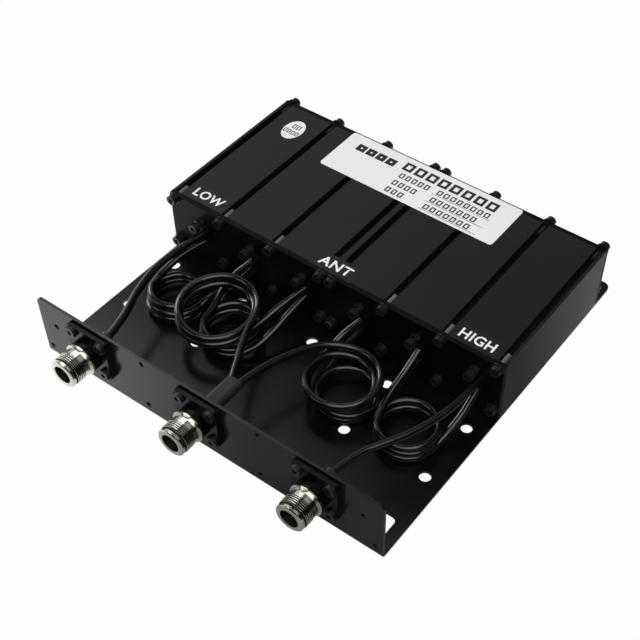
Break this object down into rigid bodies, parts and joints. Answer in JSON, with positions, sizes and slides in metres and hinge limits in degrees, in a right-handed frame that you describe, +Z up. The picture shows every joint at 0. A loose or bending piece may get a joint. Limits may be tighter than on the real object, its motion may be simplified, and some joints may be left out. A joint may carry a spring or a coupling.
{
  "type": "rf duplexer",
  "caption": "Mobile antenna duplexer: black sheet-metal tray with front connector panel, two extruded helical-cavity bodies, tuning screws and coiled coaxial phasing cables",
  "frame": {"origin": "middle of the footprint of tray and connectors, on the tray's underside", "axes": "+Z up; -Y toward the connector panel's front, +X toward the high port's side"},
  "size_m": [0.208, 0.2328, 0.041],
  "materials": {
    "tray_paint": "satin black powder coat",
    "housing_paint": "semi-matte black anodised aluminium",
    "black_oxide": "black oxide steel",
    "silvered_copper": "silver-plated copper",
    "solder": "dull tinned solder",
    "connector_black": "black plated brass",
    "nickel_plate": "nickel plate",
    "insulator": "dark fluoropolymer",
    "gold_brass": "gold-plated brass",
    "shrink_sleeve": "heat-shrink tube",
    "cable_jacket": "PVC cable jacket, slight sheen"
  },
  "bodies": {
    "chassis": {"base_tray": "tray_paint", "left_cavity_body": "housing_paint", "right_cavity_body": "housing_paint", "front_plate": "housing_paint", "rear_plate": "housing_paint", "front_plate_screws": "black_oxide", "rear_plate_screws": "black_oxide", "housing_base_screws": "black_oxide", "tuning_locknuts": "black_oxide", "resonator_helices": "silvered_copper", "coupling_loops": "silvered_copper", "cable_port_collars": "solder", "low_connector_flange": "connector_black", "low_connector_shell": "nickel_plate", "low_connector_insulator": "insulator", "low_connector_contact": "gold_brass", "antenna_connector_flange": "connector_black", "antenna_connector_shell": "nickel_plate", "antenna_connector_insulator": "insulator", "antenna_connector_contact": "gold_brass", "high_connector_flange": "connector_black", "high_connector_shell": "nickel_plate", "high_connector_insulator": "insulator", "high_connector_contact": "gold_brass", "connector_flange_screws": "black_oxide", "low_lead_sleeve": "shrink_sleeve", "antenna_splice_sleeve": "shrink_sleeve", "high_lead_sleeve": "shrink_sleeve", "coil_1": "cable_jacket", "coil_2": "cable_jacket", "coil_3": "cable_jacket", "coil_4": "cable_jacket", "coil_5": "cable_jacket", "coil_6": "cable_jacket", "low_lead": "cable_jacket", "high_lead": "cable_jacket", "coil_1_lead_a": "cable_jacket", "coil_1_lead_b": "cable_jacket", "coil_2_lead_a": "cable_jacket", "coil_2_lead_b": "cable_jacket", "coil_3_lead_a": "cable_jacket", "coil_3_lead_b": "cable_jacket", "coil_4_lead_a": "cable_jacket", "coil_4_lead_b": "cable_jacket", "coil_5_lead_a": "cable_jacket", "coil_5_lead_b": "cable_jacket", "coil_6_lead_a": "cable_jacket", "coil_6_lead_b": "cable_jacket"},
    "tuner_1": {"tuning_screw_1": "black_oxide"},
    "tuner_2": {"tuning_screw_2": "black_oxide"},
    "tuner_3": {"tuning_screw_3": "black_oxide"},
    "tuner_4": {"tuning_screw_4": "black_oxide"},
    "tuner_5": {"tuning_screw_5": "black_oxide"},
    "tuner_6": {"tuning_screw_6": "black_oxide"}
  },
  "joints": [
    {"name": "tuner_1_travel", "type": "slide", "parent": "chassis", "child": "tuner_1", "axis": [0, -1, 0], "range_m": [-0.0008, 0.003]},
    {"name": "tuner_2_travel", "type": "slide", "parent": "chassis", "child": "tuner_2", "axis": [0, -1, 0], "range_m": [-0.0008, 0.003]},
    {"name": "tuner_3_travel", "type": "slide", "parent": "chassis", "child": "tuner_3", "axis": [0, -1, 0], "range_m": [-0.0008, 0.003]},
    {"name": "tuner_4_travel", "type": "slide", "parent": "chassis", "child": "tuner_4", "axis": [0, -1, 0], "range_m": [-0.0008, 0.003]},
    {"name": "tuner_5_travel", "type": "slide", "parent": "chassis", "child": "tuner_5", "axis": [0, -1, 0], "range_m": [-0.0008, 0.003]},
    {"name": "tuner_6_travel", "type": "slide", "parent": "chassis", "child": "tuner_6", "axis": [0, -1, 0], "range_m": [-0.0008, 0.003]}
  ]
}
